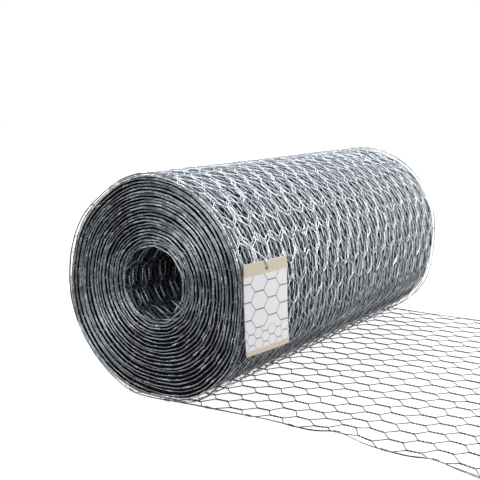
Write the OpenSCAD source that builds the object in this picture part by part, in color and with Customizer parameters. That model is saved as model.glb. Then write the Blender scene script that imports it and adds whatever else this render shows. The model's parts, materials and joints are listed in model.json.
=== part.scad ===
// Roll of hexagonal wire netting lying on its side, with its first half metre
// unrolled flat on the floor and a card label tied to the outermost turn.
//
// Frame: millimetres, +Z up. The bore of the roll lies along Y and the origin is
// on its axis at mid width. The netting leaves the roll under its lowest line and
// runs towards +X.

/* [Roll] */
// Width of the netting, which is the length of the roll
net_width = 500; // [300:10:1200]
// Outer diameter of the wound roll
roll_od = 243; // [160:1:400]
// Diameter of the open bore
bore_d = 76; // [40:1:110]
// Number of turns between the bore and the outside
turns = 24; // [8:1:30]
// How far the bore sits above the middle of the roll, because the turns sag
bore_rise = 2; // [0:0.5:4]
// Share of the winding pitch that is open between two turns
gap_share = 0.5; // [0.3:0.05:0.7]
// How deep the gaps between the turns show on each end
gap_depth = 4; // [1:0.5:10]

/* [Netting] */
// Diameter of the mesh wire
wire_d = 0.9; // [0.6:0.05:1.6]
// Number of hexagons across the width
cells_across = 19; // [8:1:40]
// Length of the twisted side of a hexagon
twist_len = 15.5; // [10:0.5:25]
// How far a single wire runs along the netting between two twists
single_run = 9.5; // [6:0.5:20]
// Width of the edge band: two straight edge wires with the mesh wire wrapped round them
edge_band = 4.2; // [3:0.1:8]
// Unrolled length, counted in rows of twists
tail_rows = 17; // [4:1:20]

/* [Label] */
// Width of the card along the roll
tag_width = 70; // [40:1:100]
// Height of the card
tag_height = 94; // [60:1:110]
// Thickness of the card
tag_thick = 0.8; // [0.4:0.1:2]
// How far the card reaches past the near end of the roll
tag_overhang = 2; // [0:0.5:8]
// Height of the card's top edge above the middle of the roll
tag_top = 36; // [10:1:60]
// Angle by which the card swings out from the roll towards its far edge
tag_swing = 6; // [0:0.5:8]
// Diameter of the punched hole for the tie
hole_d = 4; // [3:0.1:5]
// Distance from the card's top edge to the middle of the hole
hole_drop = 6.5; // [5:0.5:12]

/* [Tie] */
// Diameter of the tie wire
tie_d = 0.8; // [0.5:0.05:1.2]
// Radius of the tie's loop, to the middle of its wire
tie_loop = 6.5; // [6:0.25:9]
// Clearance between the roll and what hangs on it
hang_gap = 0.3; // [0.1:0.05:0.5]

/* [Hidden] */
$fn = 96;
eps = 1;

// A twist is two wires side by side, and it is the thickest place in the flat netting.
twist_d = 2 * wire_d;
// The rows of hexagons reach to the middle of each edge band.
mesh_width = net_width - edge_band;
cell_w = mesh_width / cells_across;
row_step = twist_len + single_run;

roll_r = roll_od / 2;
bore_r = bore_d / 2;
// Height of the middle of the roll's outside, seen from the bore axis
roll_z = -bore_rise;
// The roll stands on the netting that runs out from under it.
net_top = roll_z - roll_r;
floor_z = net_top - twist_d;

// The first row of twists lies centred under the roll's lowest line.
tail_start = -twist_len / 2;
tail_end = (tail_rows - 1) * row_step + twist_len / 2;
tail_length = tail_end - tail_start;

// Middle of the label's punched hole. Its X and Z are counted from the middle of the roll.
hole_x = roll_r + hang_gap + tag_width / 2 * sin(tag_swing) + tag_thick / 2 * cos(tag_swing);
hole_y = -net_width / 2 - tag_overhang
         + tag_width / 2 * cos(tag_swing) - tag_thick / 2 * sin(tag_swing);
hole_z = tag_top - hole_drop;

// The tie's middle is where two circles cross: one round the roll, on which the loop just
// clears the outermost turn, and one round the punched hole, on which it passes through it.
tie_out = roll_r + hang_gap + tie_d / 2 + tie_loop;
hole_out = norm([hole_x, hole_z]);
tie_along = (tie_out * tie_out - tie_loop * tie_loop + hole_out * hole_out) / (2 * hole_out);
tie_up = sqrt(tie_out * tie_out - tie_along * tie_along);
tie_x = (tie_along * hole_x - tie_up * hole_z) / hole_out;
tie_z = (tie_along * hole_z + tie_up * hole_x) / hole_out;

// Rotates what is drawn in XY so that its Z runs along the bore, with X kept and Y going up.
module along_bore() { rotate([90, 0, 0]) children(); }

// A disc at the share t of the winding, from 0 at the bore to 1 at the outside.
// Its middle moves from the bore's to the roll's.
module winding_disc(t) {
    translate([0, roll_z * t]) circle(r = bore_r + (roll_r - bore_r) * t);
}

// The open gap between turn k and the next one, drawn on an end face.
module turn_gap(k) {
    middle = (k + 1) / turns;
    half = gap_share / turns / 2;
    difference() {
        winding_disc(middle + half);
        winding_disc(middle - half);
    }
}

// The wound netting: one solid with its true bore and its turns on both ends.
module netting_roll() {
    color("slategray")
    difference() {
        along_bore() translate([0, roll_z]) cylinder(r = roll_r, h = net_width, center = true);
        along_bore() cylinder(r = bore_r, h = net_width + 2 * eps, center = true);
        for (side = [-1, 1])
            translate([0, side * net_width / 2, 0])
                along_bore()
                    linear_extrude(2 * gap_depth, center = true)
                        for (k = [0 : turns - 2]) turn_gap(k);
    }
}

// The open middle of one hexagon. Its twisted sides run along the netting and lose a
// wire each, and its slanted single sides lose half a wire.
module mesh_hole() {
    half_w = cell_w / 2;
    slant = atan2(half_w, single_run);
    side_y = half_w - twist_d / 2;
    tip_x = twist_len / 2 + single_run - wire_d / 2 / sin(slant);
    side_x = tip_x - side_y / tan(slant);
    polygon([[side_x, side_y], [-side_x, side_y], [-tip_x, 0],
             [-side_x, -side_y], [side_x, -side_y], [tip_x, 0]]);
}

// All the holes of the unrolled netting. Every second row is set half a hexagon aside, and
// the other rows end in half hexagons.
module mesh_holes() {
    for (i = [0 : tail_rows - 1]) {
        aside = (i % 2) / 2;
        for (j = [0 : cells_across - 2 * aside])
            translate([i * row_step, (j + aside) * cell_w - mesh_width / 2])
                mesh_hole();
    }
}

// The two edge bands, which close the half hexagons along the edges.
module edge_bands() {
    for (side = [-1, 1])
        translate([(tail_start + tail_end) / 2, side * (net_width - edge_band) / 2])
            square([tail_length, edge_band], center = true);
}

// The unrolled netting: one flat grid, fused where its wires cross.
module netting_tail() {
    color("gray")
    translate([0, 0, floor_z])
        linear_extrude(twist_d) {
            difference() {
                translate([(tail_start + tail_end) / 2, 0])
                    square([tail_length, net_width], center = true);
                mesh_holes();
            }
            edge_bands();
        }
}

// Places what is drawn flat in XY, with X along the card and Y up, at the card's top corner
// beside the near end. The card swings out from there.
module at_tag() {
    translate([roll_r + hang_gap, -net_width / 2 - tag_overhang, roll_z + tag_top])
        rotate([0, 0, 90 - tag_swing])
            rotate([90, 0, 0]) children();
}

// The card label with its punched hole. Its back is on the side of the roll.
module label_tag() {
    color("lavender")
    at_tag()
        linear_extrude(tag_thick)
            difference() {
                translate([0, -tag_height]) square([tag_width, tag_height]);
                translate([tag_width / 2, -hole_drop]) circle(d = hole_d);
            }
}

// The tie wire that hangs the label on the outermost turn: a closed loop that lies against
// the roll and passes square through the punched hole below its own middle.
module tag_tie() {
    color("silver")
    translate([tie_x, hole_y, roll_z + tie_z])
        rotate([90, 0, 0])
            rotate_extrude() translate([tie_loop, 0]) circle(d = tie_d, $fn = 24);
}

netting_roll();
netting_tail();
label_tag();
tag_tie();
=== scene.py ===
# %% [markdown]
# # A roll of hexagonal wire netting
#
# The real object is one length of galvanised netting, half a metre wide. About twelve metres
# of it are wound into a roll with an open bore, and the last forty centimetres lie unrolled
# on the floor. A card label hangs on the outermost turn by a thin wire.
#
# Netting like this could be a flat sheet with a hexagon pattern painted on it, and that is
# cheap, but the roll then has no depth: what makes it look like netting is that one sees
# between the wires into twenty more layers. So every wire is a real tube here. A tube is
# a ring of a few points carried along a path, and numpy works out all the paths at once.
# The paths are drawn on the flat netting first, and one function then winds the flat
# netting into the roll.

import json
import math

import bpy
import numpy as np
from mathutils import Euler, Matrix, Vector


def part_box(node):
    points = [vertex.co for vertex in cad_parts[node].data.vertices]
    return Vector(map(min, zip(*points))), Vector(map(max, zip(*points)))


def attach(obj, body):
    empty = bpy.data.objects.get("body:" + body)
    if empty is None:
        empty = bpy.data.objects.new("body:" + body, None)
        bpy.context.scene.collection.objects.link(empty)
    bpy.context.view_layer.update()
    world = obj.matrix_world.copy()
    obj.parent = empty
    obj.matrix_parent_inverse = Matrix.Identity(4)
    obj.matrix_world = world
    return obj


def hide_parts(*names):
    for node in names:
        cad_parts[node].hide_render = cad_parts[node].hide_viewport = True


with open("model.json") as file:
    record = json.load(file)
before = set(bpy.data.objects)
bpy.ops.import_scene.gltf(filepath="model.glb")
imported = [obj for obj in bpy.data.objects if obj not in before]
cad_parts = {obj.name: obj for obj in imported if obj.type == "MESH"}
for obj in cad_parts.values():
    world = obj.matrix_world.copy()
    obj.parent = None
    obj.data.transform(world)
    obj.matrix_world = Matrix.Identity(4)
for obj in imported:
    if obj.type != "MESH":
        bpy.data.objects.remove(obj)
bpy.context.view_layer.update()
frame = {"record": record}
record = frame["record"]

# %% [markdown]
# ## Sizes
#
# The CAD part fixes where everything is. Lengths are worked out in millimetres, because
# wire and hexagons are sold in them, and they turn into metres when a mesh is made.

# %% Read the sizes of the roll, the unrolled netting and the label
MM = 0.001
roll_low, roll_high = (np.array(corner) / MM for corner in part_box("netting_roll"))
tail_low, tail_high = (np.array(corner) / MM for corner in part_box("netting_tail"))
card_low, card_high = (np.array(corner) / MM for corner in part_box("label_tag"))
bores = [m for m in record["mounts"] if m["kind"] == "bore"]
bore_radius = bores[0]["dims"]["r_mm"]
roll_radius = (roll_high[0] - roll_low[0]) / 2
roll_z = (roll_high[2] + roll_low[2]) / 2
net_width = roll_high[1] - roll_low[1]
floor_z = tail_low[2]
wire_radius = (tail_high[2] - tail_low[2]) / 4
print(f"roll {2 * roll_radius:.1f} across, bore {2 * bore_radius:.1f}, width {net_width:.1f} mm")
print(f"wire {2 * wire_radius:.2f} mm, floor at {floor_z:.1f} mm")

# %% [markdown]
# ## The pattern of the flat netting
#
# Two neighbouring wires are twisted round each other for a short way, part, and each meets
# the neighbour on its other side. So every wire zigzags in its own lane between two lines
# that run along the netting, and the twists of every second row sit on every second line.
# At the selvedges the outermost wire has no neighbour, and it wraps round two straight edge
# wires. Rows are counted from the one under the roll, which is 0. Rows with a minus sign are
# unrolled, the others are wound.

# %% Count the hexagons, rows and lines
CELLS_ACROSS = 19
ROW_STEP = 25.0
TWIST_LENGTH = 15.5
TWIST_TURNS = 2
TURNS = 24
half_twist = TWIST_LENGTH / 2
half_step = ROW_STEP / 2

EDGE_RADIUS = 0.46
EDGE_CLEARANCE = 0.08
EDGE_LIFT = 0.4
COIL_RADIUS = 0.33
edge_gap = EDGE_RADIUS + EDGE_CLEARANCE
coil_height = EDGE_RADIUS + EDGE_LIFT / 2 + COIL_RADIUS
edge_line = net_width / 2 - edge_gap - coil_height - COIL_RADIUS
line_step = edge_line / CELLS_ACROSS
line_count = 2 * CELLS_ACROSS + 1
wire_count = 2 * CELLS_ACROSS

sheet_outer = roll_z - floor_z - 2 * wire_radius
sheet_inner = bore_radius + 2 * wire_radius
turn_pitch = (sheet_outer - sheet_inner) / TURNS
wound_length = math.pi * (sheet_outer + sheet_inner) * TURNS
first_row = -round((tail_high[0] - half_twist) / ROW_STEP)
last_row = int(wound_length / ROW_STEP) - 1
print(f"{TURNS} turns {turn_pitch:.2f} mm apart hold {wound_length / 1000:.2f} m of netting")
print(f"hexagons {2 * line_step:.1f} mm across, rows {first_row} to {last_row}")

# %% [markdown]
# ## Small faults that every real net has
#
# A machine-made net is regular, but once it is wound and handled each twist has moved
# a little. The two wires of a twist must move together, so the faults are kept by row and
# line, and each wire looks up the twist that it is in. A fixed seed gives the same net
# each time.

# %% Give each twist its own small shift
SEED = 9
SHIFT_ALONG = 0.7
SHIFT_ACROSS = 0.6
SHIFT_OUT = 0.25
SHIFT_LIMIT = 2.0
SELVEDGE_SHARE = 0.3
rng = np.random.default_rng(SEED)
row_total = last_row - first_row + 2
twist_shift = rng.normal(0, 1, (row_total, line_count, 3))
twist_shift = np.clip(twist_shift, -SHIFT_LIMIT, SHIFT_LIMIT)
twist_shift = twist_shift * [SHIFT_ALONG, SHIFT_ACROSS, SHIFT_OUT]
twist_shift[:, [0, -1], 1] *= SELVEDGE_SHARE
print("twists:", row_total * CELLS_ACROSS)

# %% [markdown]
# ## Winding the flat netting
#
# `wind` takes points of the flat netting and gives them in space. Where netting is wound,
# its radius shrinks by one pitch a turn, so the length used up grows as a quadratic in the
# angle, and solving that quadratic gives the angle back. A twist is stiffer than the single
# wires, so the netting stays straight over a row of twists and bends between the rows:
# the bore is more a polygon than a circle. The turns are not perfectly tight either, and
# slow waves in radius and sideways make some of them touch and others stand apart.
#
# A soft roll also sags. Its section is a circle with a few shallow bells added round it, it
# is flat where it lies on the floor, and it is nearly round again at the bore. At the
# label's end the lower turns have slipped out a few millimetres as well.
#
# Three habits of a real roll are easy to miss. The outermost turn is free, so it stands off
# the next one in one place and is pressed against it in two others. The first three turns
# from outside lie a little closer together than the rest. And the hexagons of one turn never
# lie on those of the turn below, because each turn has slipped along the roll by a few
# millimetres: with no such slip, the wires would line up in columns, and the side would look
# hatched.
#
# Each row of `LOOSE_WAVES` is a height, a number of waves per radian, a start and a twist
# across the width. `SIDE_WAVES` has the first three. `INNER_SLIP` gives a slip at a number
# of turns, and `STANDS_OFF` and `SAG_BELLS` give a height, a middle and a spread in degrees.

# %% Functions for the winding
LOOSE_WAVES = ((0.18, 0.41, 0.9, 0.0), (0.16, 0.87, 2.1, 0.006), (0.16, 1.83, 4.4, -0.009),
               (0.15, 3.17, 0.4, 0.013), (0.14, 7.31, 1.7, 0.02), (0.10, 12.7, 3.3, -0.03))
SIDE_WAVES = ((0.9, 0.23, 1.3), (0.5, 0.61, 3.9), (0.35, 1.37, 5.2))
INNER_SLIP = ((0, 0.0), (3, 12.9), (12, 0.0), (20, 0.0), (24, 17.0))
SETTLE_ANGLE = 0.5
BORE_SHIFT = 4.0
STANDS_OFF = ((2.2, 108, 22), (-2.5, 46, 36), (-0.9, 165, 30))
TIGHT_TURNS = 3.0
TIGHTER = 0.3
STIFFNESS = 0.85
SAG_BELLS = ((-0.038, 128, 21), (-0.018, 165, 18), (0.040, 208, 24), (0.012, 250, 25),
             (0.110, 300, 22), (0.060, 328, 16), (0.012, 30, 30))
SAG_FADE = 1.2
PRESSED_PITCH = 2.0
LEAST_DROP = 0.05
SLIP = 9.5
SLIP_SPREAD = 40.0


def turn_radius(turned):
    """Radius of a turn: the outermost less one pitch a turn, but the first few turns lie
    closer to each other, and the others take up the room evenly."""
    depth = turned / (2 * np.pi)
    made_up = TIGHTER * TIGHT_TURNS * (TURNS - depth) / (TURNS - TIGHT_TURNS)
    return sheet_outer - turn_pitch * depth + np.minimum(TIGHTER * depth, made_up)


def turned_angle(length):
    """Angle wound since the netting left the floor: the root of length = outer radius
    times angle, less pitch times the angle squared over four pi."""
    wound = np.maximum(length, 0)
    root = np.sqrt(sheet_outer**2 - turn_pitch * wound / np.pi)
    return (sheet_outer - root) * 2 * np.pi / turn_pitch


def waves(turned, across):
    """Out-of-round of the turns: a sum of sines in the angle wound and the place across."""
    height = sum(a * np.sin(f * turned + p + g * across) for a, f, p, g in LOOSE_WAVES)
    return height * (1 - np.exp(-turned / SETTLE_ANGLE))


def sideways(turned, across):
    """How far a turn has slipped along the roll: a sum of sines in the angle wound, and a
    drift that the hexagons follow and the edges don't, one less the fourth power of the
    share. With the drift, the hexagons of one turn show between those of the next."""
    slip = sum(a * np.sin(f * turned + p) for a, f, p in SIDE_WAVES)
    inner = 1 - np.minimum(np.abs(2 * across / net_width), 1) ** 4
    drift = np.interp(turned / (2 * np.pi), *zip(*INNER_SLIP))
    return slip * (1 - np.exp(-turned / SETTLE_ANGLE)) + drift * inner


def sagged(angle, radius, depth):
    """Radius of the sagged roll: radius times one plus a sum of bell curves in the angle,
    which count less towards the bore, and never lower than the turns below can be pressed."""
    around = np.degrees(angle)
    weight = np.clip((radius - sheet_inner) / (sheet_outer - sheet_inner), 0, 1) ** SAG_FADE
    bells = 0
    for height, centre, spread in SAG_BELLS:
        off = (around - centre + 180) % 360 - 180
        bells = bells + height * np.exp(-((off / spread) ** 2))
    drop = np.maximum(-np.sin(angle), LEAST_DROP)
    lowest = (sheet_outer - PRESSED_PITCH * depth) / drop
    return np.minimum(radius * (1 + weight * bells), lowest)


def slipped(angle, radius, across):
    """Sideways slip of the lower turns: a bell curve in the angle, most at the near end."""
    off = (np.degrees(angle) - 270 + 180) % 360 - 180
    weight = np.clip((radius - sheet_inner) / (sheet_outer - sheet_inner), 0, 1)
    near = 0.5 - across / net_width
    return -SLIP * near * weight * np.exp(-((off / SLIP_SPREAD) ** 2))


def row_bend(length, radius):
    """Keeps a row of twists straight: within a twist the offset is the distance squared over
    twice the radius, and between two rows it rounds the corner with a second parabola."""
    off = np.abs((length + half_step) % ROW_STEP - half_step)
    straight = off**2 / (2 * radius)
    run = half_step - half_twist
    rest = half_step - off
    corner = half_twist**2 / (2 * radius)
    corner = corner + half_twist / radius * (run / 2 - rest**2 / (2 * run))
    bend = np.where(off < half_twist, straight, corner)
    return (bend - half_twist**2 / (3 * radius)) * STIFFNESS


print(f"angle wound in all: {math.degrees(turned_angle(wound_length)) / 360:.2f} turns")

# %% [markdown]
# ## The unrolled netting
#
# Netting that was wound doesn't lie quite flat. Its free edge near the label waves up and
# sideways, most where it has been pulled, and the waves die out towards the middle. Each row
# of `EDGE_WAVES` is a height, a place along the netting and a spread, in millimetres.

# %% Functions for the unrolled netting
EDGE_WAVES = ((5.5, 226, 20), (2.2, 150, 40), (3.2, 322, 16))
EDGE_FADE = 55.0
LAZY_HEIGHT = 0.7
LAZY_ALONG = 31.0
LAZY_ACROSS = 43.0
RISE_LENGTH = 40.0
BAND_WIDTH = 7.0
PULL_START = 325.0
PULL_LENGTH = 45.0
PULL = 8.0
BOW = 3.0
BOW_PLACE = 225.0
SLIP_REACH = 60.0


def tail_height(x, across):
    """Height over the floor: bell curves along the near edge that fade with the distance
    from it, a low wave over the whole sheet, and a bell that lifts both edges for the coils
    to lie on the floor."""
    from_edge = across + net_width / 2
    bells = sum(a * np.exp(-(((x - m) / s) ** 2)) for a, m, s in EDGE_WAVES)
    swell = np.sin(x / LAZY_ALONG + 1) * np.sin(across / LAZY_ACROSS + 2)
    lazy = LAZY_HEIGHT * (1 + swell) / 2
    start = 1 - np.exp(-np.maximum(x, 0) / RISE_LENGTH)
    near_side = np.minimum(from_edge, net_width - from_edge)
    band = (coil_height - wire_radius) * np.exp(-((near_side / BAND_WIDTH) ** 2)) * start
    return bells * np.exp(-from_edge / EDGE_FADE) + lazy * start + band


def tail_sideways(x, across):
    """Sideways pull of the near corner: a smooth ramp along the edge, fading inwards, and
    next to the roll the same slip as the roll's."""
    from_edge = across + net_width / 2
    ramp = np.clip((x - PULL_START) / PULL_LENGTH, 0, 1) ** 2
    bow = BOW * np.exp(-(((x - BOW_PLACE) / PULL_LENGTH) ** 2))
    slip = -SLIP * (0.5 - across / net_width) * np.exp(-((x / SLIP_REACH) ** 2))
    return (bow - PULL * ramp) * np.exp(-from_edge / EDGE_FADE) + slip


def wind(length, across, out):
    """Turns points of the flat netting into space. Wound: middle of the turn plus its radius
    along the angle. Unrolled: straight on along the floor. Returns points and normals."""
    turned = turned_angle(length)
    share = turned / (2 * np.pi * TURNS)
    radius = turn_radius(turned)
    bulge = sum(a * np.exp(-(((np.degrees(turned) - m) / s) ** 2)) for a, m, s in STANDS_OFF)
    angle = 1.5 * np.pi - turned
    round_off = waves(turned, across) + row_bend(length, radius) + bulge
    far = sagged(angle, radius + round_off, turned / (2 * np.pi)) + out
    x = BORE_SHIFT * share + far * np.cos(angle)
    z = roll_z * (1 - share) + far * np.sin(angle)
    y = across + sideways(turned, across) + slipped(angle, radius, across)
    normal = np.stack([np.cos(angle), np.zeros_like(angle), np.sin(angle)], -1)
    on_floor = length < 0
    x = np.where(on_floor, -length, x)
    lying = floor_z + 2 * wire_radius - out + tail_height(-length, across)
    z = np.where(on_floor, lying, z)
    y = np.where(on_floor, across + tail_sideways(-length, across), y)
    return np.stack([x, y, z], -1), normal


foot = wind(np.zeros(1), np.zeros(1), np.zeros(1))[0]
print("where the netting leaves the floor:", np.round(foot[0], 1))

# %% [markdown]
# ## Turning paths into wires
#
# A wire is a circle of a few points carried along a path. The circle needs a direction that
# stays the same along the path, and the outward direction of the netting is a good one: it
# is never along the wire. All the wires of a piece are one array of paths, and the rings
# come out as one bigger array. The ends are closed with a flat cap. Each wire gets its own
# strip of the UV map, with a little room between strips, so that colours follow the wire
# when the finish is baked.

# %% Functions that sweep a circle along many paths
TINY = 1e-9
STRIP_START = 0.1
STRIP_ROOM = 0.3


def unit(vectors):
    """Vectors divided by their length."""
    length = np.linalg.norm(vectors, axis=-1, keepdims=True)
    return vectors / np.maximum(length, TINY)


def sweep_rings(paths, out_way, radius, sides):
    """Rings round paths: path point plus radius times (cosine times the side direction plus
    sine times the outward direction), both square to the path."""
    along = unit(np.gradient(paths, axis=1))
    side = unit(np.cross(out_way, along))
    out = np.cross(along, side)
    turn = np.arange(sides) * 2 * np.pi / sides + np.pi / sides
    circle = side[:, :, None] * np.cos(turn)[:, None] + out[:, :, None] * np.sin(turn)[:, None]
    return paths[:, :, None] + radius * circle


def tube_faces(count, points, sides):
    """Corner numbers of the faces of many tubes: walls with four corners, and caps."""
    ring = np.arange(sides)
    after = (ring + 1) % sides
    first = np.arange(points - 1)[:, None] * sides
    wall = np.stack([first + ring, first + after, first + sides + after, first + sides + ring], -1)
    start = np.arange(count) * points * sides
    walls = (start[:, None, None] + wall.reshape(1, -1, 4)).reshape(-1, 4)
    head = start[:, None] + ring[::-1]
    foot = start[:, None] + (points - 1) * sides + ring
    return walls, np.concatenate([head, foot])


def tube_map(count, points, sides, strips):
    """Map corners of the faces: along the wire to the right, round it upwards, one strip of
    the map for each part of each wire."""
    part = math.ceil((points - 1) / strips)
    step, ring = np.meshgrid(np.arange(points - 1), np.arange(sides), indexing="ij")
    left = (step % part) / part
    low = (step // part + (ring + STRIP_START) / (sides + STRIP_ROOM)) / strips
    high = (step // part + (ring + STRIP_START + 1) / (sides + STRIP_ROOM)) / strips
    right = left + 1 / part
    one = np.stack([np.stack([left, low], -1), np.stack([left, high], -1),
                    np.stack([right, high], -1), np.stack([right, low], -1)], -2)
    every = one.reshape(1, -1, 4, 2) + np.arange(count)[:, None, None, None] * [0, 1]
    every[..., 1] /= count
    caps = [np.repeat(every[:, end, 0], sides, axis=0) for end in (0, -1)]
    return np.concatenate([every.reshape(-1, 2), *caps])


# %% Functions that make a mesh
def new_piece(name, points, quads, others, corners, slot, material, stands_for):
    """Puts points in millimetres, faces with four corners, faces of another kind and the
    map corners into one mesh, parents the piece to the root body and hides the parts that
    it stands for."""
    mesh = bpy.data.meshes.new(name)
    loops = np.concatenate([quads.ravel(), others.ravel()]).astype(np.int32)
    sizes = np.concatenate([np.full(len(quads), 4), np.full(len(others), others.shape[1])])
    starts = np.concatenate([[0], np.cumsum(sizes)[:-1]])
    mesh.vertices.add(len(points))
    mesh.vertices.foreach_set("co", (points * MM).astype(np.float32).ravel())
    mesh.loops.add(len(loops))
    mesh.loops.foreach_set("vertex_index", loops)
    mesh.polygons.add(len(sizes))
    mesh.polygons.foreach_set("loop_start", starts.astype(np.int32))
    mesh.update(calc_edges=True)
    mesh.validate()
    mesh.shade_smooth()
    layer = mesh.uv_layers.new(name="OFBake")
    layer.data.foreach_set("uv", corners.astype(np.float32).ravel())
    mesh.materials.append(material)
    piece = bpy.data.objects.new(name, mesh)
    bpy.context.scene.collection.objects.link(piece)
    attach(piece, "root")
    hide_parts(*stands_for)
    triangles = int((sizes - 2).sum())
    print(f"{name}: {len(points)} points, {triangles} triangles")
    return piece


no_faces = np.zeros((0, 3), int)


def wires_to_arrays(paths, out_way, radius, sides, strips=1):
    """Points, wall faces, cap faces and map corners of a set of wires."""
    count, points = paths.shape[:2]
    rings = sweep_rings(paths, out_way, radius, sides).reshape(-1, 3)
    walls, caps = tube_faces(count, points, sides)
    return rings, walls, caps, tube_map(count, points, sides, strips)


# %% [markdown]
# ## The zinc finish
#
# The wire is dipped in zinc, which is a dull metal with a faint blue cast. The finish gives
# it patches where it is matt and dark, and tiny bright drops. Noise at two sizes in object
# coordinates makes them. Metal shows its roughness in how wide its glints are.
#
# All zinc of the roll is of this one kind. It comes in seven brightnesses, one for each place
# on the netting, and each was set for how the roll looks in this light: they are lit and
# shaded copies of one zinc, with light and shade painted into their colours. They don't stand
# for a difference in the metal, and in other light the places may look unlike each other. The
# unrolled wires get darker towards the roll in the same way, which is painted shade.

# %% Functions that build materials
def node_maker(name):
    """A new material with its shader, and a helper that adds and links a node."""
    material = bpy.data.materials.new(name)
    material.use_nodes = True
    tree = material.node_tree
    shader = tree.nodes["Principled BSDF"]

    def add(kind, links=None, **settings):
        node = tree.nodes.new(kind)
        for key, value in settings.items():
            setattr(node, key, value)
        for socket, source in (links or {}).items():
            if hasattr(source, "links"):
                tree.links.new(source, node.inputs[socket])
            else:
                node.inputs[socket].default_value = source
        return node

    return material, tree, shader, add


def ramp(add, source, stops):
    """A colour ramp: each stop is a place and a colour."""
    node = add("ShaderNodeValToRGB", {"Fac": source})
    band = node.color_ramp
    while len(band.elements) < len(stops):
        band.elements.new(0.5)
    for element, (place, colour) in zip(band.elements, stops):
        element.position = place
        element.color = (*colour, 1)
    return node.outputs["Color"]


def noise(add, where, scale, detail=3.0):
    """Noise with lumps of one part in scale of a metre."""
    node = add("ShaderNodeTexNoise", {"Vector": where, "Scale": scale, "Detail": detail})
    return node.outputs["Fac"]


# %% The zinc of the wires
SHADE_REACH = 0.2
PATCH_SCALE = 110
DROP_SCALE = 420
ZINC_STOPS = (0.36, 0.5, 0.64)


def zinc_material(name, dark, mid, light, roughness, shade=0.0):
    """Zinc with matt dark patches, a blue-grey body and bright drops. A painted shade makes it
    darker towards the plane x = 0, where the roll stands, over SHADE_REACH."""
    material, tree, shader, add = node_maker(name)
    where = add("ShaderNodeTexCoord").outputs["Object"]
    patches = noise(add, where, PATCH_SCALE, 4)
    drops = noise(add, where, DROP_SCALE, 2)
    mixed = add("ShaderNodeMath", {0: patches, 1: drops}, operation="ADD")
    halved = add("ShaderNodeMath", {0: mixed.outputs[0], 1: 0.5}, operation="MULTIPLY")
    parts = add("ShaderNodeSeparateXYZ", {0: where})
    shaded = add("ShaderNodeMapRange", {"Value": parts.outputs["X"], "From Max": SHADE_REACH,
                                        "To Min": shade, "To Max": 0.0})
    amount = add("ShaderNodeMath", {0: halved.outputs[0], 1: shaded.outputs["Result"]},
                 operation="SUBTRACT")
    stops = list(zip(ZINC_STOPS, (dark, mid, light)))
    tree.links.new(ramp(add, amount.outputs[0], stops), shader.inputs["Base Color"])
    spread = add("ShaderNodeMapRange", {"Value": patches, "From Min": 0.3, "From Max": 0.7,
                                        "To Min": roughness[0], "To Max": roughness[1]})
    tree.links.new(spread.outputs["Result"], shader.inputs["Roughness"])
    shader.inputs["Metallic"].default_value = 1.0
    return material


# %% The kinds of zinc, each with its dark, middle and light colour and its roughness
# Each kind below is the same zinc with light and shade painted into its colours for its place.
outer_zinc = zinc_material("galvanised_zinc", (0.19, 0.205, 0.23), (0.46, 0.485, 0.53),
                           (0.78, 0.81, 0.86), (0.32, 0.48))
# Painted light: brighter than the outermost turn's zinc, to make up for the shade that turn casts
# on it.
second_turn_zinc_painted_lighter = zinc_material("zinc_of_the_second_turn_painted_lighter", (0.30, 0.32, 0.35), (0.68, 0.71, 0.76),
                            (0.98, 0.99, 1.0), (0.28, 0.44))
# Painted highlight: the coils' zinc is near white so they show as bright dots; the low roughness
# gives their real glints.
coil_zinc_painted_highlight = zinc_material("zinc_of_the_coils_painted_highlight", (0.55, 0.56, 0.58), (0.92, 0.94, 0.96),
                          (1.0, 1.0, 1.0), (0.14, 0.30))
bore_zinc = zinc_material("zinc_in_the_bore", (0.20, 0.21, 0.22), (0.48, 0.50, 0.53),
                          (0.88, 0.90, 0.92), (0.3, 0.48))
# Painted shade: the outermost edge wires are made dark, so they show as a dark line round the end
# of the roll.
rim_zinc_painted_shade = zinc_material("zinc_of_the_outermost_edge_wires_painted_shade", (0.09, 0.093, 0.10),
                         (0.20, 0.205, 0.215), (0.50, 0.51, 0.53), (0.3, 0.5))
edge_zinc = zinc_material("zinc_of_the_edge_wires", (0.26, 0.27, 0.29), (0.45, 0.47, 0.495),
                          (0.92, 0.93, 0.95), (0.26, 0.44))
# Painted shade: the unrolled zinc is nearly black, and its painted shade darkens it further
# towards the roll.
tail_zinc_painted_shade = zinc_material("unrolled_zinc_painted_shade", (0.012, 0.013, 0.015), (0.085, 0.088, 0.092),
                          (0.24, 0.25, 0.265), (0.3, 0.48), 0.13)
print("materials:", [m.name for m in bpy.data.materials])

# %% [markdown]
# ## The mesh wires
#
# In a row, each wire is in a twist: on the left of its partner or on the right of it. In
# the twist it runs round the line in a helix, two turns with its partner opposite, and then
# it crosses over to the next row on a straight slant. The outer turns get many points. Deep
# in the roll only the lanes along the two ends are built, with few points, because nobody
# can see more of them there. The outermost two turns are pieces of their own. The second
# one's zinc is brighter than the first one's, which was set for this light too: it is painted
# light that makes up for the shade the outermost turn casts on it.

# %% Functions for the mesh wires
TWIST_REACH = 1.04
SELVEDGE_REACH = 0.3


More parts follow.
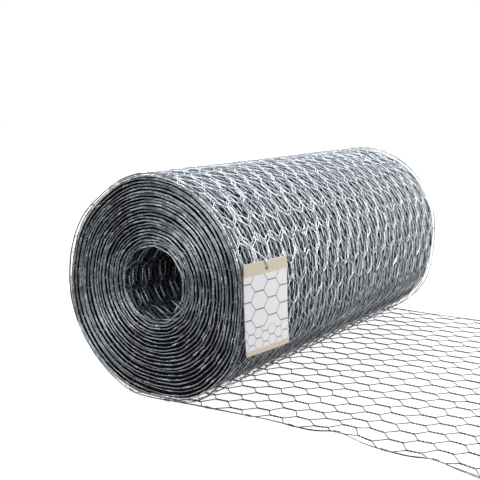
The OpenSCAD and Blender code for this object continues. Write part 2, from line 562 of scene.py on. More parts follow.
def lane_paths(rows, twist_points, run_points, wires):
    """Flat paths of mesh wires over some rows: a helix of TWIST_TURNS turns round a line in
    each row, then a straight slant. Returns length, across and out."""
    row = np.arange(rows[0], rows[1] + 2)
    wire_on_left = (wires[:, None] + row) % 2 == 0
    line = wires[:, None] + wire_on_left
    shift = twist_shift[(row - first_row)[None], line]
    share = np.linspace(0, 1, twist_points + 1)
    hand = np.where(row % 2 == 0, 1, -1)[None, :, None]
    turn = 2 * np.pi * TWIST_TURNS * share * hand + np.pi * wire_on_left[..., None]
    at_selvedge = (line == 0) | (line == line_count - 1)
    reach = wire_radius * np.where(at_selvedge, SELVEDGE_REACH, TWIST_REACH)
    length = row[None, :, None] * ROW_STEP + (share - 0.5) * TWIST_LENGTH + shift[..., :1]
    across = (line * line_step - edge_line + shift[..., 1])[..., None]
    across = across + reach[..., None] * np.cos(turn)
    out = reach[..., None] * np.sin(turn) + shift[..., 2:]
    flat = np.stack(np.broadcast_arrays(length, across, out), -1)
    start = flat[:, :-1, -1:]
    stop = flat[:, 1:, :1]
    step = (np.arange(1, run_points) / run_points)[:, None]
    runs = start + (stop - start) * step
    body = np.concatenate([flat[:, :-1], runs], 2).reshape(len(wires), -1, 3)
    if rows[1] == last_row:
        return body[:, : body.shape[1] - run_points + 1]
    return np.concatenate([body, flat[:, -1, :1]], 1)


def mesh_wires(name, rows, twist_points, run_points, sides, stands_for, wires, finish,
               thicker=1.0):
    """One piece with the mesh wires in some lanes over some rows."""
    flat = lane_paths(rows, twist_points, run_points, wires)
    paths, normals = wind(flat[..., 0], flat[..., 1], flat[..., 2])
    arrays = wires_to_arrays(paths, normals, wire_radius * thicker, sides)
    return new_piece(name, *arrays, "galvanised_wire", finish, stands_for)


def row_after(turns_wound):
    """The row reached after so many turns from outside."""
    turned = 2 * np.pi * turns_wound
    length = sheet_outer * turned - turn_pitch * turned**2 / (4 * np.pi)
    return int(length / ROW_STEP)


# %% The unrolled netting and the turns of the roll
UNROLLED_THICKER = 1.2
every_lane = np.arange(wire_count)
end_lanes = np.array([0, 1, wire_count - 2, wire_count - 1])
mesh_wires("netting_unrolled", (first_row, -1), 14, 3, 6, ["netting_tail"], every_lane,
           tail_zinc_painted_shade, UNROLLED_THICKER)
splits = [-1] + [row_after(t) for t in (1, 2, TURNS - 3)] + [last_row]
# Name, points on a twist and on a slant, sides of the wire, lanes and finish
layers = [("netting_turn_outermost", 12, 2, 4, every_lane, outer_zinc),
          ("netting_turn_second", 12, 2, 4, every_lane, second_turn_zinc_painted_lighter),
          ("netting_turns_inside", 6, 2, 3, end_lanes, edge_zinc),
          ("netting_turns_at_bore", 10, 2, 4, every_lane, bore_zinc)]
for (name, twist_points, run_points, sides, lanes, finish), before, last in zip(
        layers, splits, splits[1:]):
    rows = (before + 1, last)
    mesh_wires(name, rows, twist_points, run_points, sides, ["netting_roll"], lanes, finish)

# %% [markdown]
# ## The imported turns
#
# Between the second turn and the last few lie nearly twenty turns of netting. From outside
# one sees layer on layer of wires that get darker with depth, so their middle is one wound
# body, set back from both ends, and its finish draws the layers of hexagons on a nearly
# black ground. That darkening and the black ground are painted shade, the shade deep inside
# the roll. The body is a ring: its section is a long box with sloping rims, and every
# point of the section has its own middle and radius, as the turns have. The section moves
# in by one turn as it goes round, so it keeps its distance from the turn outside it. Its
# ends stay plain and dark, which is painted shade for the shade between the turns.
#
# The finish needs to know where it is on the netting, so each point also gets a place on it,
# in a map of its own: along the turn to the right and across the netting upwards, in units
# of `MAP_UNIT` millimetres. The outside of the body is shifted by one width of the netting
# and the inside by three, so that the finish can tell them from each other and from the
# ends, which have 0.

# %% Function for the imported body
PACKED_FROM = 1.3
PACKED_TO = 20.8
RIM_INSET = 2.8
PACKED_INSET = 5.5
RIM_TURNS = 1.2
PACKED_SEGMENTS = 144
LONG_STEPS = 24
MAP_UNIT = 100.0
OUTER_SHIFT = 1
INNER_SHIFT = 3


def packed_section():
    """The section as turns wound and place along the bore: a long side under the outermost
    turns, a rim that slopes in at each end, and a long side towards the bore."""
    rim = net_width / 2 - RIM_INSET
    deep = net_width / 2 - PACKED_INSET
    outside = [(PACKED_FROM, y) for y in np.linspace(rim, -rim, LONG_STEPS)]
    inside = [(PACKED_TO, y) for y in np.linspace(-deep, deep, LONG_STEPS)]
    knee = PACKED_FROM + RIM_TURNS
    return np.array(outside + [(knee, -deep)] + inside + [(knee, deep)])


def packed_body():
    """Points of the ring, one row for each angle, and the first again at the end: for each
    section point the turn's middle plus its radius along the angle. Also their places on the
    netting, with a whole number of rows in each turn, so that the drawing meets itself."""
    section = packed_section()
    round_share = np.linspace(0, 1, PACKED_SEGMENTS + 1)[:, None]
    angle = 1.5 * np.pi - 2 * np.pi * round_share
    depth = section[:, 0] + np.minimum(round_share, 1 - 0.5 / PACKED_SEGMENTS)
    share = depth / TURNS
    radius = turn_radius(2 * np.pi * depth)
    far = sagged(angle, radius, depth)
    x = BORE_SHIFT * share + far * np.cos(angle)
    z = roll_z * (1 - share) + far * np.sin(angle)
    place = np.broadcast_to(section[:, 1], x.shape)
    y = place + slipped(angle, radius, place)
    whole = sheet_outer - turn_pitch * (section[:, 0] + 0.5)
    around = round_share * np.round(np.pi * whole / ROW_STEP) * 2 * ROW_STEP
    is_inside = section[:, 0] > TURNS / 2
    side_of = place + net_width * np.where(is_inside, INNER_SHIFT, OUTER_SHIFT)
    return np.stack([x, y, z], -1), np.stack([around, side_of], -1) / MAP_UNIT


def ring_faces(around, across):
    """Corner numbers of a closed ring of sections, each a closed loop of points."""
    a, b = np.meshgrid(np.arange(around), np.arange(across), indexing="ij")
    a1, b1 = (a + 1) % around, (b + 1) % across
    return np.stack([a * across + b, a1 * across + b, a1 * across + b1, a * across + b1],
                    -1).reshape(-1, 4)


def facing_out(points, faces):
    """Turns all faces over if the volume they enclose, a sum of triple products, is less
    than nothing."""
    a, b, c, d = (points[faces[:, k]] for k in range(4))
    volume = np.sum(a * np.cross(b, c)) + np.sum(a * np.cross(c, d))
    return faces if volume > 0 else faces[:, ::-1]


# %% [markdown]
# ### A drawn grid of hexagons
#
# Where hexagons are too small or too deep to build, they are drawn. A point is wrapped into
# the hexagon round each of two grids of centres, and the nearer centre wins. The distance
# to the flat sides is half a height less the up-and-down part, and the distance to the
# slanted sides comes from the dot product with their direction. Flat sides are the twists,
# and they are drawn thicker than the slanted ones.

# %% Functions for drawn hexagons
ROOT_3 = math.sqrt(3)
LINE_SOFTNESS = 0.25


def hexagon_lines(add, place, column, height, thick, thin, start, faint):
    """1 on the flat lines of a grid of hexagons, faint on the slanted ones, 0 between. Two
    columns are one and a half sides apart, and a hexagon is the root of three sides high."""
    size = (column / 1.5, height / ROOT_3, 1.0)
    moved = add("ShaderNodeVectorMath", {0: place, 1: start}, operation="SUBTRACT")
    scaled = add("ShaderNodeVectorMath", {0: moved.outputs[0], 1: size}, operation="DIVIDE")
    half = (1.5, ROOT_3 / 2, 1.0)
    minus_half = (-1.5, -ROOT_3 / 2, -1.0)
    found = []
    for shift in ((0, 0, 0), half):
        near = add("ShaderNodeVectorMath", {0: scaled.outputs[0], 1: shift}, operation="SUBTRACT")
        wrapped = add("ShaderNodeVectorMath", {0: near.outputs[0], 1: half, 2: minus_half},
                      operation="WRAP")
        flat = add("ShaderNodeVectorMath", {0: wrapped.outputs[0], 1: (1, 1, 0)},
                   operation="MULTIPLY")
        long = add("ShaderNodeVectorMath", {0: flat.outputs[0]}, operation="LENGTH")
        found.append((flat.outputs[0], long.outputs["Value"]))
    nearer = add("ShaderNodeMath", {0: found[0][1], 1: found[1][1]}, operation="GREATER_THAN")
    chosen = add("ShaderNodeMix", data_type="VECTOR")
    chosen_links = {0: nearer.outputs[0], 4: found[0][0], 5: found[1][0]}
    tree = chosen.id_data
    for index, source in chosen_links.items():
        tree.links.new(source, chosen.inputs[index])
    plus = add("ShaderNodeVectorMath", {0: chosen.outputs[1]}, operation="ABSOLUTE")
    level = add("ShaderNodeVectorMath", {0: plus.outputs[0], 1: (0, 1, 0)},
                operation="DOT_PRODUCT")
    slant = add("ShaderNodeVectorMath", {0: plus.outputs[0], 1: (ROOT_3 / 2, 0.5, 0)},
                operation="DOT_PRODUCT")
    masks = []
    for side, width in ((level, thick), (slant, thin)):
        reach_out = width * (0.5 + LINE_SOFTNESS) / size[1]
        reach_in = width * (0.5 - LINE_SOFTNESS) / size[1]
        mask = add("ShaderNodeMapRange", {"Value": side.outputs["Value"],
                                          "From Min": ROOT_3 / 2 - reach_out,
                                          "From Max": ROOT_3 / 2 - reach_in})
        masks.append(mask.outputs["Result"])
    slanted = add("ShaderNodeMath", {0: masks[1], 1: faint}, operation="MULTIPLY").outputs[0]
    both = add("ShaderNodeMath", {0: masks[0], 1: slanted}, operation="MAXIMUM")
    return both.outputs[0]


def step_at(add, value, place, soft):
    """0 below a place and 1 above it, with a soft edge."""
    node = add("ShaderNodeMapRange", {"Value": value, "From Min": place - soft,
                                      "From Max": place + soft})
    return node.outputs["Result"]


def blend(add, share, first, second):
    """A mix of two colours."""
    node = add("ShaderNodeMix", data_type="RGBA")
    for index, source in ((0, share), (6, first), (7, second)):
        if hasattr(source, "links"):
            node.id_data.links.new(source, node.inputs[index])
        else:
            node.inputs[index].default_value = (*source, 1)
    return node.outputs[2]


# %% [markdown]
# ### The finish of the imported turns
#
# Eight layers of hexagons are drawn over each other, the deeper the fainter, which is painted
# shade. Each layer starts at a place of its own. Shares of about .755 and .570 of a hexagon,
# each added once more for the next layer, are the steps that spread points most evenly over an
# area, so no two layers fall on each other. A slow noise bends each layer another way, and 2.4
# radians from one layer to the next spreads those ways evenly too. Lines over a nearly black
# ground, painted shade, give the colour, and the same drawing gives the bump.

# %% The drawn layers of the imported turns
DRAWN_LAYERS = 8
FIRST_LAYER = 0.9
LAST_LAYER = 0.4
ALONG_SHARE = 0.7549
ACROSS_SHARE = 0.5698
WARP = 14.0
WARP_SCALE = 0.02
WAY_STEP = 2.4
DRAWN_TWIST = 1.8
DRAWN_WIRE = 0.9
DRAWN_FAINT = 0.5
packed_finish_with_painted_shade, tree, shader, add = node_maker("packed_netting_with_painted_shade")
place_map = add("ShaderNodeUVMap", uv_map="netting_place").outputs["UV"]
to_mm = (MAP_UNIT, MAP_UNIT, 1)
in_mm = add("ShaderNodeVectorMath", {0: place_map, 1: to_mm}, operation="MULTIPLY")
wobble = add("ShaderNodeTexNoise", {"Vector": in_mm.outputs[0], "Scale": WARP_SCALE,
                                    "Detail": 1.0})
centred = add("ShaderNodeVectorMath", {0: wobble.outputs["Color"], 1: (0.5, 0.5, 0)},
              operation="SUBTRACT")
seen = None
for layer in range(DRAWN_LAYERS):
    way = WAY_STEP * layer
    spread = (WARP * math.cos(way), WARP * math.sin(way), 0)
    shaken = add("ShaderNodeVectorMath", {0: centred.outputs[0], 1: spread, 2: in_mm.outputs[0]},
                 operation="MULTIPLY_ADD").outputs[0]
    start = (2 * ROW_STEP * (ALONG_SHARE * layer % 1),
             2 * line_step * (ACROSS_SHARE * layer % 1), 0)
    lines = hexagon_lines(add, shaken, ROW_STEP, 2 * line_step, DRAWN_TWIST, DRAWN_WIRE,
                          start, DRAWN_FAINT)
    # Deeper layers are drawn fainter: painted shade.
    strength = FIRST_LAYER + (LAST_LAYER - FIRST_LAYER) * layer / (DRAWN_LAYERS - 1)
    layer_with_depth_shade = add("ShaderNodeMath", {0: lines, 1: strength}, operation="MULTIPLY").outputs[0]
    if seen is not None:
        layer_with_depth_shade = add("ShaderNodeMath", {0: seen, 1: layer_with_depth_shade}, operation="MAXIMUM").outputs[0]
    seen = layer_with_depth_shade

# %% The colour of the imported turns: plain dark ends and a dimmer bore, both painted shade
BORE_SHADE = 0.7
place_parts = add("ShaderNodeSeparateXYZ", {0: in_mm.outputs[0]})
# The ends are left plain and dark: painted shade between the turns.
off_the_shaded_ends = step_at(add, place_parts.outputs["Y"], net_width / 4, 1.0)
seen = add("ShaderNodeMath", {0: seen, 1: off_the_shaded_ends}, operation="MULTIPLY").outputs[0]
# The side towards the bore is dimmer: painted shade in the bore.
in_bore = step_at(add, place_parts.outputs["Y"], 2 * net_width, 1.0)
painted_bore_shade = add("ShaderNodeMapRange", {"Value": in_bore, "To Min": 1.0, "To Max": BORE_SHADE})
seen = add("ShaderNodeMath", {0: seen, 1: painted_bore_shade.outputs["Result"]},
           operation="MULTIPLY").outputs[0]
# The nearly black ground between the lines is painted shade deep in the roll.
wire_and_shade_colour = ramp(add, seen, [(0.0, (0.007, 0.007, 0.008)), (0.4, (0.12, 0.13, 0.145)),
                               (1.0, (0.66, 0.70, 0.76))])
tree.links.new(wire_and_shade_colour, shader.inputs["Base Color"])
bump = add("ShaderNodeBump", {"Height": seen, "Strength": 0.3, "Distance": 0.002})
tree.links.new(bump.outputs["Normal"], shader.inputs["Normal"])
shader.inputs["Roughness"].default_value = 0.7
shader.inputs["Specular IOR Level"].default_value = 0.0
print("nodes in the packed finish:", len(tree.nodes))

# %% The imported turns
ring_points, ring_place = packed_body()
section_count = ring_points.shape[1]
packed_points = ring_points[:-1].reshape(-1, 3)
packed_faces = facing_out(packed_points, ring_faces(PACKED_SEGMENTS, section_count))
number = packed_faces // section_count
step_on = (number == 0) & (number.max(1, keepdims=True) == PACKED_SEGMENTS - 1)
number = np.where(step_on, PACKED_SEGMENTS, number)
station = packed_faces % section_count
wraps = (station == 0) & (station.max(1, keepdims=True) == section_count - 1)
spots = np.stack([number / PACKED_SEGMENTS, np.where(wraps, section_count, station)
                  / section_count], -1)
packed = new_piece("netting_packed_turns", packed_points, packed_faces, no_faces,
                   spots.reshape(-1, 2), "galvanised_wire", packed_finish_with_painted_shade, ["netting_roll"])
place_layer = packed.data.uv_layers.new(name="netting_place")
on_net = ring_place[number, station]
depths = packed_section()[station, 0]
on_net[np.ptp(depths, axis=1) > 0, :, 1] = 0
on_net = on_net.reshape(-1, 2)
place_layer.data.foreach_set("uv", on_net.astype(np.float32).ravel())

# %% [markdown]
# ## The selvedges
#
# Along both sides the netting ends in two straight wires. In every second row the last mesh
# wire is wrapped round both of them three times, and these little coils are the bright dots
# that make a spiral on the end of the roll: their glints are real, and their near-white zinc
# adds painted highlight. The straight wires are long tubes, and a coil is a circle carried
# along a flattened helix. Near the corner that has been pulled the two straight wires stand
# apart. Where a turn passes the top or the foot of the roll, one of its straight wires lies a
# little higher than the other, and at the sides they lie level.

# %% Functions for the edge wires and their coils
SPREAD_START = 318.0
SPREAD_LENGTH = 40.0
SPREAD = 1.2
COIL_TURNS = 3
COIL_LENGTH = 7.0
EDGE_WANDER = 0.15
EDGE_WANDER_LENGTH = 17.0


def edge_half_gap(length):
    """Half the distance between the two edge wires: a ramp that opens towards the corner."""
    ramp = np.clip((-length - SPREAD_START) / SPREAD_LENGTH, 0, 1)
    return edge_gap + SPREAD * ramp


def edge_paths(side, lengths):
    """The two straight wires of one selvedge over one stretch of the netting. One lies
    higher than the other by the cosine of the angle wound to the fourth, and both wander."""
    place = np.array([-1.0, 1.0])[:, None]
    across = side * edge_line + place * edge_half_gap(lengths)
    lift = EDGE_LIFT * np.cos(turned_angle(lengths)) ** 4
    out = place * (lift + EDGE_WANDER * np.sin(lengths / EDGE_WANDER_LENGTH))
    return wind(np.broadcast_to(lengths, across.shape), across, out)


def coil_paths(side, rows, points):
    """Flattened helices round both edge wires, one for each row of that kind."""
    share = np.linspace(0, 1, points)
    turn = 2 * np.pi * COIL_TURNS * share
    length = (rows * ROW_STEP)[:, None] + (share - 0.5) * COIL_LENGTH
    half = edge_half_gap(length) + coil_height
    across = side * (edge_line + half * np.cos(turn))
    out = coil_height * np.sin(turn) * np.ones_like(length)
    paths, normals = wind(length, across, out)
    level = np.array([0.0, side, 0.0]) * np.cos(turn)[:, None]
    return paths, level + normals * np.sin(turn)[:, None]


# %% The selvedges of the unrolled netting and of the roll
POINTS_A_ROW = 4
MAP_STRIPS = 8
tail_reach = first_row * ROW_STEP - half_twist
roll_reach = last_row * ROW_STEP + half_twist
outer_reach = splits[1] * ROW_STEP
# Name, start and end, sides and points of a coil, node, finish of the edge and of the coils
stretches = [
    ("netting_unrolled", tail_reach, 0.0, 5, 40, "netting_tail", tail_zinc_painted_shade, tail_zinc_painted_shade),
    ("netting_outermost", 0.0, outer_reach, 5, 32, "netting_roll", rim_zinc_painted_shade, coil_zinc_painted_highlight),
    ("netting_inside", outer_reach, roll_reach, 3, 28, "netting_roll", edge_zinc, coil_zinc_painted_highlight),
]
for stretch, start, stop, sides, coil_points, stands_for, *finishes in stretches:
    lengths = np.linspace(start, stop, round((stop - start) / ROW_STEP * POINTS_A_ROW) + 1)
    first_coil = 2 * math.ceil((start / ROW_STEP - 1) / 2) + 1
    coil_rows = np.arange(first_coil, stop / ROW_STEP, 2)
    for side, side_name in ((-1, "near"), (1, "far")):
        straight = wires_to_arrays(*edge_paths(side, lengths), EDGE_RADIUS, sides + 1,
                                   MAP_STRIPS)
        coils = wires_to_arrays(*coil_paths(side, coil_rows, coil_points), COIL_RADIUS, sides)
        for arrays, kind, finish in zip((straight, coils), ("edge", "coils"), finishes):
            name = f"{stretch}_{side_name}_{kind}"
            new_piece(name, *arrays, "galvanised_wire", finish, [stands_for])

# %% [markdown]
# ## The card label
#
# The label is a stiff card with a punched hole, a plain band along its top and bottom, and
# a print of hexagons between them. A card with a hole can be cut with a Boolean, but a
# ring does it in one go: rays from the middle of the hole end on the outline, and the
# points between hole and outline are shares of each ray. Its place on the card is kept in a
# map of its own, in the same units as the netting's, and the print reads it.

# %% Functions for the card
CARD_THICK = 0.8
CARD_LEAN = 3.6
CARD_CURL = 0.8
HOLE_RADIUS = 2.2
HOLE_DROP = 8.2
card_height = card_high[2] - card_low[2]
swing = math.atan2(card_high[0] - card_low[0] - CARD_THICK, card_high[1] - card_low[1])
card_along = np.array([math.sin(swing), math.cos(swing), 0.0])
card_out = np.array([math.cos(swing), -math.sin(swing), 0.0])
card_corner = np.array([card_low[0], card_low[1] + CARD_THICK * math.sin(swing), card_high[2]])
card_width = (card_high[0] - card_low[0] - CARD_THICK * math.cos(swing)) / math.sin(swing)
print(f"card {card_width:.1f} by {card_height:.1f} mm, swung {math.degrees(swing):.1f} degrees")


def on_card(right, down, out):
    """A point from its place on the card: corner plus right along it, down, and out. The
    lower edge leans out by a parabola, and the sides curl back by another."""
    lean = CARD_LEAN * (np.maximum(down, 0) / card_height) ** 2
    curl = CARD_CURL * (1 - (2 * right / card_width - 1) ** 2)
    far = out + lean + curl
    flat = card_corner + np.multiply.outer(right, card_along)
    return flat + np.multiply.outer(far, card_out) - np.multiply.outer(down, [0.0, 0.0, 1.0])


# %% The rays of the card
RAYS = 72
middle = np.array([card_width / 2, HOLE_DROP])
corners = np.array([[0, 0], [card_width, 0], [card_width, card_height], [0, card_height]])
corner_turn = np.arctan2(*(corners - middle).T[::-1])
turns_round = np.sort(np.concatenate([np.linspace(-np.pi, np.pi, RAYS, False), corner_turn]))
ray = np.stack([np.cos(turns_round), np.sin(turns_round)], -1)
limit = np.where(ray > 0, [card_width, card_height], 0.0) - middle
is_level = np.abs(ray) < TINY
reach = np.min(np.where(is_level, np.inf, limit / np.where(is_level, 1, ray)), axis=-1)
# Section of the card from the hole to the rim and back: share of the ray, and height
shares = np.array([0, .02, .06, .15, .3, .5, .7, .86, .97, 1, 1, .97, .7, .35, .06, 0])
lifts = np.array([.92, 1, 1, 1, 1, 1, 1, 1, 1, .9, .1, 0, 0, 0, 0, .08]) * CARD_THICK
far = HOLE_RADIUS + (reach[:, None] - HOLE_RADIUS) * shares
place = middle + ray[:, None] * far[..., None]
card_points = on_card(place[..., 0], place[..., 1], np.broadcast_to(lifts, far.shape))
card_points = card_points.reshape(-1, 3)
card_faces = facing_out(card_points, ring_faces(len(turns_round), len(shares)))
print("rays:", len(turns_round), "card faces:", len(card_faces))

# %% [markdown]
# ### The print on the card
#
# The print is a coarse grid of hexagons with a finer one below it, in dark ink on white,
# between two beige bands. Each grid has a width of its columns, a height of its hexagons,
# the thickness of its level and slanted lines, and the middle of one hexagon, all in
# millimetres from the card's upper left corner.

# %% The printed card
TOP_BAND = 13.4
BOTTOM_BAND = 5.2
BAND_EDGE = 0.15
SMALL_START = 67.3
LARGE_GRID = (20.2, 18.5, 1.3, 0.9, (22.9, 39.3, 0))
SMALL_GRID = (10.95, 11.0, 0.9, 0.6, (19.6, 72.6, 0))
PRINT_FAINT = 0.8
printed, tree, shader, add = node_maker("printed_card")
place_map = add("ShaderNodeUVMap", uv_map="card_place").outputs["UV"]
in_mm = add("ShaderNodeVectorMath", {0: place_map, 1: to_mm}, operation="MULTIPLY")
split = add("ShaderNodeSeparateXYZ", {0: in_mm.outputs[0]})
down = split.outputs["Y"]
where = add("ShaderNodeTexCoord").outputs["Object"]
large = hexagon_lines(add, in_mm.outputs[0], *LARGE_GRID, PRINT_FAINT)
small = hexagon_lines(add, in_mm.outputs[0], *SMALL_GRID, PRINT_FAINT)
is_small = step_at(add, down, SMALL_START, 0.2)
fibres = noise(add, where, 900, 4)
clouds = noise(add, where, 60, 2)
white = ramp(add, fibres, [(0.3, (0.395, 0.39, 0.415)), (0.7, (0.435, 0.43, 0.455))])
beige = ramp(add, fibres, [(0.3, (0.295, 0.255, 0.20)), (0.7, (0.355, 0.31, 0.245))])
ink = ramp(add, clouds, [(0.3, (0.04, 0.04, 0.05)), (0.7, (0.10, 0.10, 0.12))])
lines = add("ShaderNodeMix", data_type="FLOAT")
for index, source in ((0, is_small), (2, large), (3, small)):
    tree.links.new(source, lines.inputs[index])
print_colour = blend(add, lines.outputs[0], white, ink)
below_top = step_at(add, down, TOP_BAND, BAND_EDGE)
in_bottom = step_at(add, down, card_height - BOTTOM_BAND, BAND_EDGE)
is_print = add("ShaderNodeMath", {0: below_top, 1: in_bottom}, operation="SUBTRACT")
tree.links.new(blend(add, is_print.outputs[0], beige, print_colour), shader.inputs["Base Color"])
shader.inputs["Roughness"].default_value = 0.62
bump = add("ShaderNodeBump", {"Height": fibres, "Strength": 0.08, "Distance": 0.0004})
tree.links.new(bump.outputs["Normal"], shader.inputs["Normal"])
print("nodes in the print:", len(tree.nodes))

# %% The card. Its front is on the left of the map, its back on the right, its rim between
FRONT_POINTS = 9
FRONT_SIZE = (0.45, 0.94)
FRONT_CORNER = (0.01, 0.03)
BACK_SHIFT = 0.5
RIM_SECTIONS = (8, 9, 10)
RIM_PLACE = 0.47
RIM_STEP = 0.002
RIM_HEIGHT = 80
is_front = np.arange(len(shares)) < FRONT_POINTS
spots = place / [card_width, card_height] * FRONT_SIZE + FRONT_CORNER
spots[:, ~is_front, 0] += BACK_SHIFT
corner_spots = spots.reshape(-1, 2)[card_faces.ravel()]
section = card_faces % len(shares)
on_rim = np.isin(section.min(1), RIM_SECTIONS) | (np.ptp(section, axis=1) > 1)
rim_spots = np.stack([RIM_PLACE + RIM_STEP * (section % 5),
                      card_faces // len(shares) / RIM_HEIGHT], -1)
rim_loops = np.repeat(on_rim, 4)
corner_spots[rim_loops] = rim_spots.reshape(-1, 2)[rim_loops]
card = new_piece("label_card", card_points, card_faces, no_faces, corner_spots, "label_card",
                 printed, ["label_tag"])
card.data.set_sharp_from_angle(angle=math.radians(40))
place_layer = card.data.uv_layers.new(name="card_place")
on_print = place.reshape(-1, 2)[card_faces.ravel()] / MAP_UNIT
place_layer.data.foreach_set("uv", on_print.astype(np.float32).ravel())

# %% [markdown]
# ## The tie wire
#
# A thin wire goes through the hole and up to the outermost turn, where it hooks round a
# wire of the netting and comes back. It is a bent path through a few listed points, each
# given by how far right, down and out it is on the card. Each stretch between two points is
# a cubic whose slope at a point is half the way between its neighbours, so the bends are
# round.

# %% Functions for the tie
ROUGH_WAY = (0.31, -0.52, 0.79)


def through_points(stations, steps):
    """A smooth path through stations: on each stretch the Catmull-Rom cubic in t."""
    ends = np.concatenate([[2 * stations[0] - stations[1]], stations,
                           [2 * stations[-1] - stations[-2]]])
    t = np.linspace(0, 1, steps, False)[:, None, None]
    a, b, c, d = ends[:-3], ends[1:-2], ends[2:-1], ends[3:]
    curve = 0.5 * (2 * b + (c - a) * t + (2 * a - 5 * b + 4 * c - d) * t**2
                   + (3 * b - a - 3 * c + d) * t**3)
    return np.concatenate([curve.transpose(1, 0, 2).reshape(-1, 3), stations[-1:]])


def square_ways(path):
    """A direction for each point of a path that turns with it and is never along it."""
    along = unit(np.gradient(path, axis=0))
    rough = np.broadcast_to(ROUGH_WAY, along.shape)
    return unit(rough - np.sum(rough * along, -1, keepdims=True) * along)


# %% The tie wire
TIE_RADIUS = 0.36
tie_stations = np.array([
    (36.6, 12.5, -1.0), (35.8, 9.6, -1.1), (35.0, 7.4, 0.3), (34.3, 5.4, 1.6),
    (32.0, 0.0, 1.7), (28.6, -5.5, -2.0), (22.0, -14.0, -8.6), (16.0, -21.5, -15.0),
    (14.4, -23.2, -17.4), (14.0, -22.0, -18.0), (15.6, -20.0, -14.4), (22.6, -11.5, -6.4),
    (30.6, -3.0, 0.6), (34.3, 1.4, 2.0), (35.9, 4.6, 1.8), (35.6, 6.8, 0.5),
    (34.4, 8.8, -1.0), (33.0, 12.0, -1.0)])
tie_path = through_points(on_card(*tie_stations.T), 6)
ways = square_ways(tie_path)
tie_zinc = zinc_material("tie_wire", (0.55, 0.51, 0.48), (0.78, 0.74, 0.71),
                         (0.94, 0.91, 0.88), (0.35, 0.5))
arrays = wires_to_arrays(tie_path[None], ways[None], TIE_RADIUS, 8)
new_piece("label_tie", *arrays, "tie_wire", tie_zinc, ["tag_tie"])

# %% [markdown]
# ## Floor, light and camera
#
# The floor is plain and nearly white. Metal shows what is around it, so the light is mostly
# a matter of what the wires can see. The sky is bright above and darker low down, which
# keeps steep wires dark. A wide lamp overhead puts soft glints on the upper side, a stronger
# one behind lights the far half, and two more reach the near end and the label. How strong
# each lamp is was set one by one.
#
# The floor has to look white and yet throw little light up into the roll, whose underside is
# dark. So it glows, and it glows far less for rays that don't come straight from the
# camera. The camera looks down a little on the end that carries the label.

# %% Floor
FLOOR_HALF = 6.0
GLOW_AROUND = 0.15
GLOW_SEEN = 0.88
plane = np.array([[-1, -1], [1, -1], [1, 1], [-1, 1]]) * FLOOR_HALF
floor_mesh = bpy.data.meshes.new("floor")
floor_corners = [(x, y, floor_z * MM) for x, y in plane]
floor_mesh.from_pydata(floor_corners, [], [(0, 1, 2, 3)])
floor = bpy.data.objects.new("floor", floor_mesh)
bpy.context.scene.collection.objects.link(floor)
floor_paint, tree, shader, add = node_maker("floor_paint")
shader.inputs["Base Color"].default_value = (0.2, 0.2, 0.2, 1)
shader.inputs["Roughness"].default_value = 0.9
shader.inputs["Specular IOR Level"].default_value = 0.1
shader.inputs["Emission Color"].default_value = (1, 1, 1, 1)
seen_straight = add("ShaderNodeLightPath").outputs["Is Camera Ray"]
glow = add("ShaderNodeMapRange", {"Value": seen_straight, "To Min": GLOW_AROUND,
                                  "To Max": GLOW_SEEN})
tree.links.new(glow.outputs["Result"], shader.inputs["Emission Strength"])
floor_mesh.materials.append(floor_paint)

# %% Sky
SKY_LOW = 0.16
SKY_HIGH = 1.15
SKY_TOP = 0.9
world = bpy.data.worlds.new("soft_sky")
bpy.context.scene.world = world
world.use_nodes = True
tree = world.node_tree
tree.nodes.clear()
ray_kind = tree.nodes.new("ShaderNodeLightPath")
way = tree.nodes.new("ShaderNodeTexCoord")
parts = tree.nodes.new("ShaderNodeSeparateXYZ")
rise = tree.nodes.new("ShaderNodeMapRange")
rise.inputs["From Min"].default_value = 0.0
rise.inputs["From Max"].default_value = SKY_TOP
rise.inputs["To Min"].default_value = SKY_LOW
rise.inputs["To Max"].default_value = SKY_HIGH
sky = tree.nodes.new("ShaderNodeBackground")
sky.inputs["Color"].default_value = (0.95, 0.98, 1.0, 1)
backdrop = tree.nodes.new("ShaderNodeBackground")
mix = tree.nodes.new("ShaderNodeMixShader")
out = tree.nodes.new("ShaderNodeOutputWorld")
tree.links.new(way.outputs["Generated"], parts.inputs[0])
tree.links.new(parts.outputs["Z"], rise.inputs["Value"])
tree.links.new(rise.outputs["Result"], sky.inputs["Strength"])
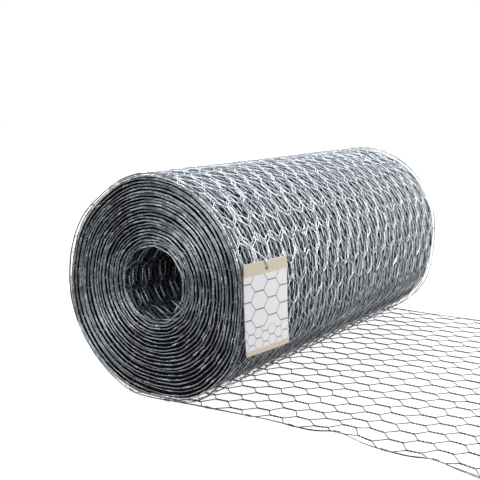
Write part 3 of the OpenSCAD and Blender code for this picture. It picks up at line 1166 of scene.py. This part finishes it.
tree.links.new(ray_kind.outputs["Is Camera Ray"], mix.inputs[0])
tree.links.new(sky.outputs[0], mix.inputs[1])
tree.links.new(backdrop.outputs[0], mix.inputs[2])
tree.links.new(mix.outputs[0], out.inputs["Surface"])
backdrop.inputs["Color"].default_value = (1, 1, 1, 1)
bpy.context.scene.view_settings.view_transform = "Standard"

# %% Lamps
roll_centre = np.array([0.0, 0.0, roll_z]) * MM


def soft_lamp(name, place, size, power, colour):
    """A square lamp at a place, aimed at the middle of the roll."""
    lamp = bpy.data.lights.new(name, "AREA")
    lamp.size = size
    lamp.energy = power
    lamp.color = colour
    holder = bpy.data.objects.new(name, lamp)
    bpy.context.scene.collection.objects.link(holder)
    holder.location = place
    aim = roll_centre - np.array(place)
    holder.rotation_euler = Vector(aim).to_track_quat("-Z", "Y").to_euler()
    return holder


soft_lamp("overhead", (-0.3, 0.3, 2.2), 2.2, 28, (1.0, 0.99, 0.97))
soft_lamp("front", (0.2, -2.4, 1.0), 1.2, 30, (0.90, 0.95, 1.0))
soft_lamp("back", (-0.9, 2.2, 1.3), 1.8, 75, (0.94, 0.97, 1.0))
soft_lamp("right", (1.4, 1.0, 0.65), 0.9, 60, (1.0, 0.98, 0.94))

# %% Camera
CAMERA_TURN = 34.33
CAMERA_RISE = 9.70
CAMERA_ROLL = -0.154
CAMERA_PLACE = (0.5916, -0.9455, 0.2021)
FOCAL_LENGTH = 65.05
SENSOR_WIDTH = 36.0
FARTHEST = 50.0
camera_data = bpy.data.cameras.new("camera")
camera_data.lens = FOCAL_LENGTH
camera_data.sensor_width = SENSOR_WIDTH
camera_data.clip_end = FARTHEST
camera = bpy.data.objects.new("camera", camera_data)
bpy.context.scene.collection.objects.link(camera)
camera.location = CAMERA_PLACE
tilt = Euler((math.radians(90 - CAMERA_RISE), 0, math.radians(CAMERA_TURN)), "XYZ")
roll = Euler((0, 0, math.radians(CAMERA_ROLL)), "XYZ")
camera.rotation_euler = (tilt.to_matrix() @ roll.to_matrix()).to_euler()
bpy.context.scene.camera = camera
